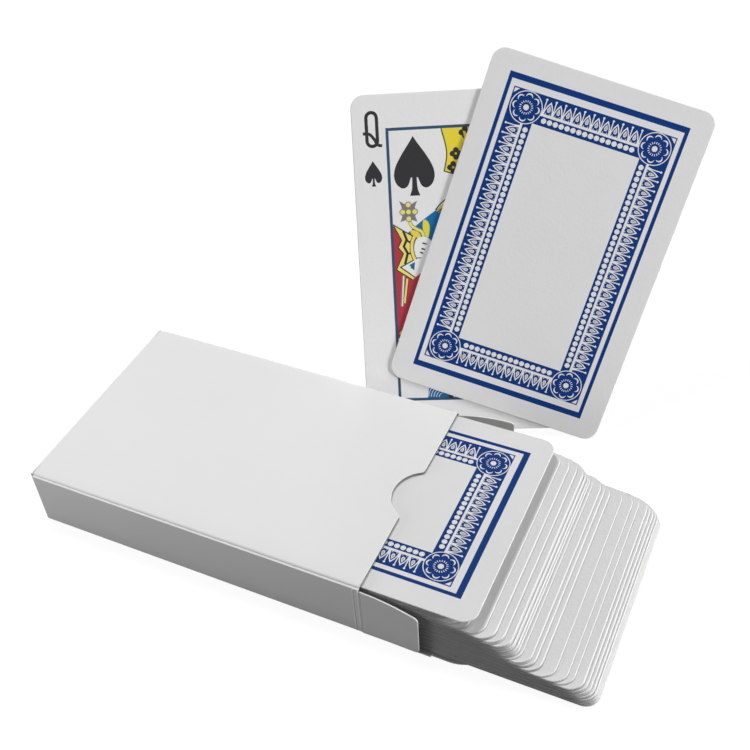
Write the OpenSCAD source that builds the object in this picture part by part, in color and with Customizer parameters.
// A deck of bridge-size playing cards in a plain folding carton.
// The carton lies on its back with its tuck lid open, the deck is drawn out of it in a fan,
// and two loose cards stand on edge behind it. Millimetres, +Z up, cards slide along X.

/* [Cards] */
// Width of a card
card_w = 57; // [50:0.5:66]
// Length of a card
card_l = 88; // [80:0.5:100]
// Thickness of the card stock
card_t = 0.28; // [0.2:0.01:0.4]
// Radius of a card's corners
card_r = 3.5; // [2:0.1:6]

/* [Fits] */
// Air between two cards of the stack
card_gap = 0.02; // [0.01:0.005:0.05]
// Room above the stack, under the front panel
stack_clear = 0.4; // [0.2:0.05:1]
// Room beside the stack, clear of the folds
side_clear = 0.2; // [0.15:0.05:1]
// Room behind the stack when it is pushed home
end_clear = 0.2; // [0.1:0.05:1]
// Distance between a loose card and what it stands against
seat_gap = 0.3; // [0.2:0.05:0.6]

/* [Carton] */
// Thickness of the carton board
board_t = 0.4; // [0.3:0.05:0.6]
// Outer radius of a folded edge
fold_r = 0.6; // [0.6:0.05:1.2]
// Width of the thumb notch at the mouth
notch_w = 14.5; // [10:0.5:24]
// Depth of the thumb notch
notch_d = 4.6; // [3:0.1:6]
// Radius that blends the notch into the mouth edge
notch_blend_r = 1.2; // [0.6:0.1:2]
// Height of the glue flap inside the near wall
glue_flap_h = 12; // [8:0.5:14]
// Slant at each end of the glue flap
glue_flap_slant = 6; // [2:0.5:10]
// Height of the inner flap of the glued end
inner_flap_h = 12; // [8:0.5:14]
// Reach of the small flaps of the glued end
end_flap_l = 18; // [10:0.5:26]
// Distance of an end flap from the panel that it folds towards
flap_relief = 0.3; // [0.1:0.05:0.6]

/* [Lid] */
// Gap that a score leaves between two boards
score_gap = 0.2; // [0.1:0.05:0.4]
// Length of the tuck tongue
tongue_l = 13; // [9:0.5:18]
// Radius of the tongue's free corners
tongue_r = 9; // [5:0.5:9]
// How much narrower the lid is on each side
lid_inset = 0.2; // [0.1:0.05:1]
// How much narrower the tongue is on each side than the lid
tongue_inset = 0.4; // [0.2:0.05:1]

/* [Dust flaps] */
// Length of a dust flap
dust_l = 13.9; // [8:0.1:18]
// Drop of the curved upper edge from the score to the tip
dust_drop = 2.5; // [1:0.1:4]
// Radius of the tip's corners
dust_tip_r = 1.2; // [0.6:0.1:3]
// Distance of a dust flap from the lid
dust_relief = 0.15; // [0.1:0.05:1]
// Distance of a dust flap from the front panel
dust_top_relief = 0.8; // [0.3:0.1:2]
// Angle at which the near dust flap stands open
near_splay = 1; // [0:1:20]
// Angle at which the far dust flap stands open
far_splay = 20; // [0:1:24]

/* [Fan] */
// How far the top card stands out of the mouth
top_reach = 26.2; // [10:0.2:40]
// How much further the lowest packet stands out
fan_spread = 27.4; // [5:0.2:40]
// Step between two cards of one packet
packet_step = 0.1; // [0:0.01:0.2]
// Sideways drift of the cards in the stack
side_drift = 0.1; // [0:0.01:0.12]

/* [Loose cards] */
// Place of the queen's lower corner along the carton
queen_x = 18.5; // [5:0.1:40]
// Turn of the standing pair away from the carton
stand_turn = 19.6; // [12:0.1:30]
// Lean of the standing pair behind the upright
stand_lean = 28.8; // [10:0.1:45]
// Tilt of the queen in its own plane
queen_tilt = 2.8; // [0:0.1:10]
// Tilt of the turned card in its own plane
turned_tilt = 17.7; // [5:0.1:40]
// Place of the turned card's foot along the foot of the standing pair
turned_foot = 57.5; // [40:0.1:70]

/* [Hidden] */
$fn = 64;
overrun = 1;

// Cards in each packet of the fan, under the single top card, from top to bottom
fan_counts = [
    4, 3, 2, 1, 1, 2, 2, 3, 3, 2, 2, 1, 2,
    2, 2, 1, 1, 1, 2, 2, 2, 2, 2, 2, 4
];
// Step in front of each packet, as a share of the fan's spread; the first packets lie back under the top card
fan_step_shares = [
    -0.16, -0.04, 0.07, 0.07, 0.125, 0.085, 0.07, 0.06, 0.025, 0.025, 0.015, 0.03, 0.075,
    0.035, 0.05, 0.115, 0.095, 0.055, 0.075, 0.03, 0.03, 0.025, 0.02, 0.01, 0.01
];
// Turn of the sideways drift from one card to the next, in degrees
drift_turn = 137;
// Packets at the bottom of the fan that move as one
squared_packets = 3;

function sum_to(list, last) = last < 0 ? 0 : list[last] + sum_to(list, last - 1);
fan_reaches = concat(
    [top_reach],
    [for (p = [0 : len(fan_counts) - 1], j = [0 : fan_counts[p] - 1])
        top_reach + fan_spread * sum_to(fan_step_shares, p) + packet_step * j]
);
deck_count = len(fan_reaches);
squared_count = sum_to(fan_counts, len(fan_counts) - 1)
    - sum_to(fan_counts, len(fan_counts) - 1 - squared_packets);
single_count = deck_count - squared_count;

// The carton follows from the stack that it holds
card_pitch = card_t + card_gap;
stack_h = deck_count * card_pitch;
inner_fold_r = fold_r - board_t;
side_room = side_clear + inner_fold_r;
carton_h = 2 * board_t + stack_h + stack_clear;
carton_w = 3 * board_t + card_w + 2 * side_room;
carton_l = 3 * board_t + end_clear + card_l;
mouth_x = carton_l / 2;
closed_x = -carton_l / 2;
near_y = -carton_w / 2;
far_y = carton_w / 2;
// The glue flap lies inside the near wall, so the stack sits off the middle
stack_y = board_t / 2;

// The thumb notch is an arc whose centre lies outside the mouth edge
notch_r = (pow(notch_w / 2, 2) + pow(notch_d, 2)) / (2 * notch_d);
notch_out = notch_r - notch_d;
blend_y = sqrt(pow(notch_r + notch_blend_r, 2) - pow(notch_out + notch_blend_r, 2));

// Lid, tongue and dust flaps
lid_x = mouth_x + score_gap;
lid_l = carton_h - board_t;
lid_w = carton_w - 2 * lid_inset;
tongue_x = lid_x + lid_l + score_gap;
tongue_w = lid_w - 2 * tongue_inset;
dust_hinge_x = mouth_x + score_gap / 2;
dust_z = board_t + dust_relief;
dust_h = carton_h - 2 * board_t - dust_relief - dust_top_relief;

// The queen's round corner stands one seat gap from the carton's far wall
turn_pull = sin(stand_turn);
lean_pull = sin(stand_lean) * cos(stand_turn);
corner_inset = card_r * (turn_pull + lean_pull - norm([turn_pull, lean_pull]));
queen_y = far_y + seat_gap + card_t * cos(stand_lean) * cos(stand_turn) - corner_inset;

function two_digits(n) = str(n < 10 ? "0" : "", n);
card_names = [for (i = [1 : single_count]) str("card_", two_digits(i))];

// A flat rectangle with its lower left corner at the origin and round corners
module round_rect(w, h, r) {
    translate([r, 0]) square([w - 2 * r, h]);
    translate([0, r]) square([w, h - 2 * r]);
    for (x = [r, w - r], y = [r, h - r]) translate([x, y]) circle(r);
}

// A section across the carton, drawn as [y, z], drawn out along X
module along_carton(from_x, to_x) {
    translate([from_x, 0, 0]) rotate([90, 0, 90]) linear_extrude(to_x - from_x) children();
}

// A section along the carton, drawn as [x, z], drawn out along Y
module across_carton(from_y, to_y) {
    translate([0, to_y, 0]) rotate([90, 0, 0]) linear_extrude(to_y - from_y) children();
}

// The folded board of the sleeve in section
module sleeve_section() {
    difference() {
        translate([near_y, 0]) round_rect(carton_w, carton_h, fold_r);
        translate([near_y + board_t, board_t])
            round_rect(carton_w - 2 * board_t, carton_h - 2 * board_t, inner_fold_r);
    }
}

// The part of that section between two heights
module sleeve_band(from_z, to_z) {
    intersection() {
        sleeve_section();
        translate([near_y - overrun, from_z]) square([carton_w + 2 * overrun, to_z - from_z]);
    }
}

// The part of the sleeve's section that makes one side wall
module wall_section(at_y) {
    translate([at_y, fold_r]) square([board_t, carton_h - 2 * fold_r]);
}

// The thumb notch in plan, with its corners blended into the mouth edge
module notch_plan() {
    translate([mouth_x + notch_out, 0]) circle(notch_r);
    for (side = [0, 1]) mirror([0, side]) difference() {
        polygon([
            [mouth_x + notch_out, 0],
            [mouth_x + notch_out, blend_y],
            [mouth_x - notch_blend_r, blend_y]
        ]);
        translate([mouth_x - notch_blend_r, blend_y]) circle(notch_blend_r);
    }
}

// A quarter of a fold in section, about the origin, with the board's outside towards -X and +Z
module fold_quarter() {
    intersection() {
        difference() {
            circle(fold_r);
            circle(inner_fold_r);
        }
        translate([-fold_r, 0]) square([fold_r, fold_r]);
    }
}

// Front panel with its two long folds and the thumb notch
module front_panel() {
    color("white") difference() {
        along_carton(closed_x + fold_r, mouth_x) sleeve_band(carton_h - fold_r, carton_h);
        translate([0, 0, carton_h - fold_r - overrun])
            linear_extrude(fold_r + 2 * overrun) notch_plan();
    }
}

// Back panel with its two long folds, which the carton lies on
module back_panel() {
    color("white")
        along_carton(closed_x + board_t + fold_r, mouth_x) sleeve_band(0, fold_r);
}

module near_side_wall() {
    color("gainsboro") along_carton(closed_x + 2 * board_t, mouth_x) wall_section(near_y);
}

module far_side_wall() {
    color("gainsboro") along_carton(closed_x + 2 * board_t, mouth_x) wall_section(far_y - board_t);
}

// Glue flap on the inner face of the near wall, with slanted ends
module glue_flap() {
    from_x = closed_x + 3 * board_t + flap_relief;
    to_x = mouth_x - flap_relief;
    color("whitesmoke") across_carton(near_y + board_t, near_y + 2 * board_t) polygon([
        [from_x, fold_r],
        [to_x, fold_r],
        [to_x - glue_flap_slant, fold_r + glue_flap_h],
        [from_x + glue_flap_slant, fold_r + glue_flap_h]
    ]);
}

// Outer flap of the glued end, folded down from the front panel
module end_outer_flap() {
    color("white") across_carton(near_y + fold_r, far_y - fold_r) {
        translate([closed_x + fold_r, carton_h - fold_r]) fold_quarter();
        translate([closed_x, flap_relief]) square([board_t, carton_h - fold_r - flap_relief]);
    }
}

// Inner flap of the glued end, folded up from the back panel
module end_inner_flap() {
    flap_x = closed_x + board_t;
    color("whitesmoke") across_carton(near_y + fold_r, far_y - fold_r) {
        translate([flap_x + fold_r, fold_r]) mirror([0, 1]) fold_quarter();
        translate([flap_x, fold_r]) square([board_t, inner_flap_h]);
    }
}

// Small flap of the glued end, folded in from a side wall
module end_flap(from_y) {
    low_z = board_t + flap_relief;
    along_carton(closed_x + 2 * board_t, closed_x + 3 * board_t)
        translate([from_y, low_z]) square([end_flap_l, carton_h - 2 * low_z]);
}

module end_flap_near() {
    color("whitesmoke") end_flap(near_y + board_t);
}

module end_flap_far() {
    color("whitesmoke") end_flap(far_y - board_t - end_flap_l);
}

// Lid panel, folded right back so that it lies under the fan
module lid_panel() {
    color("white") translate([lid_x, -lid_w / 2, 0]) cube([lid_l, lid_w, board_t]);
}

// Tuck tongue with large round corners, beyond the lid's own score
module tuck_tongue() {
    color("white") translate([tongue_x, -tongue_w / 2, 0]) linear_extrude(board_t) intersection() {
        square([tongue_l, tongue_w]);
        translate([tongue_l - tongue_w, 0]) round_rect(tongue_w, tongue_w, tongue_r);
    }
}

// A dust flap in its own plane: an upper edge that starts level and curves down to a rounded tip
module dust_outline() {
    root_x = score_gap / 2;
    tip_x = dust_l - dust_tip_r;
    edge_r = (pow(dust_l - root_x, 2) + pow(dust_drop, 2)) / (2 * dust_drop);
    edge_z = dust_h - edge_r;
    tip_z = edge_z + sqrt(pow(edge_r - dust_tip_r, 2) - pow(tip_x - root_x, 2));
    stretch = edge_r / (edge_r - dust_tip_r);
    touch_x = root_x + (tip_x - root_x) * stretch;
    touch_z = edge_z + (tip_z - edge_z) * stretch;
    intersection() {
        polygon([
            [root_x, 0],
            [tip_x, 0],
            [dust_l, dust_tip_r],
            [dust_l, tip_z],
            [touch_x, touch_z],
            [touch_x, dust_h + overrun],
            [root_x, dust_h + overrun]
        ]);
        translate([root_x, edge_z]) circle(edge_r);
    }
    for (z = [dust_tip_r, tip_z]) translate([tip_x, z]) circle(dust_tip_r);
}

// A dust flap hinged on the outer face of its wall; side is -1 for near and 1 for far
module dust_flap(side, splay) {
    translate([dust_hinge_x, side * far_y, dust_z]) rotate([0, 0, side * splay])
        translate([0, side < 0 ? board_t : 0, 0]) rotate([90, 0, 0])
            linear_extrude(board_t) dust_outline();
}

module dust_flap_near() {
    color("gainsboro") dust_flap(-1, near_splay);
}

module dust_flap_far() {
    color("gainsboro") dust_flap(1, far_splay);
}

// A card of the deck, counted from the top, its long side along X
module deck_card(k) {
    translate([
        mouth_x + fan_reaches[k] - card_l,
        stack_y - card_w / 2 + side_drift * sin(drift_turn * k),
        board_t + card_gap + (deck_count - 1 - k) * card_pitch
    ]) linear_extrude(card_t) round_rect(card_l, card_w, card_r);
}

// The lowest packets of the fan, squared up
module bottom_packet() {
    color("white") for (k = [single_count : deck_count - 1]) deck_card(k);
}

// The plane of the standing pair, with its lower left corner beside the carton's far wall
module standing_plane() {
    translate([queen_x, queen_y, 0]) rotate([0, 0, stand_turn])
        rotate([90 - stand_lean, 0, 0]) children();
}

// A loose card, its long side along Y
module loose_card() {
    linear_extrude(card_t) round_rect(card_w, card_l, card_r);
}

// The queen stands on the corner beside the carton, tilted about that corner's centre
module queen_card() {
    color("white") standing_plane() translate([card_r, card_r, 0]) rotate([0, 0, queen_tilt])
        translate([-card_r, -card_r, 0]) loose_card();
}

// The turned card stands on one corner against the queen's face
module turned_card() {
    lift = card_t + seat_gap;
    color("white") standing_plane()
        translate([turned_foot, card_r - lift * tan(stand_lean), lift]) rotate([0, 0, -turned_tilt])
            translate([card_r - card_w, -card_r, 0]) loose_card();
}

front_panel();
back_panel();
near_side_wall();
far_side_wall();
glue_flap();
end_outer_flap();
end_inner_flap();
end_flap_near();
end_flap_far();
lid_panel();
tuck_tongue();
dust_flap_near();
dust_flap_far();
queen_card();
turned_card();
for (k = [0 : single_count - 1])
    color("white") deck_card(k);
bottom_packet();
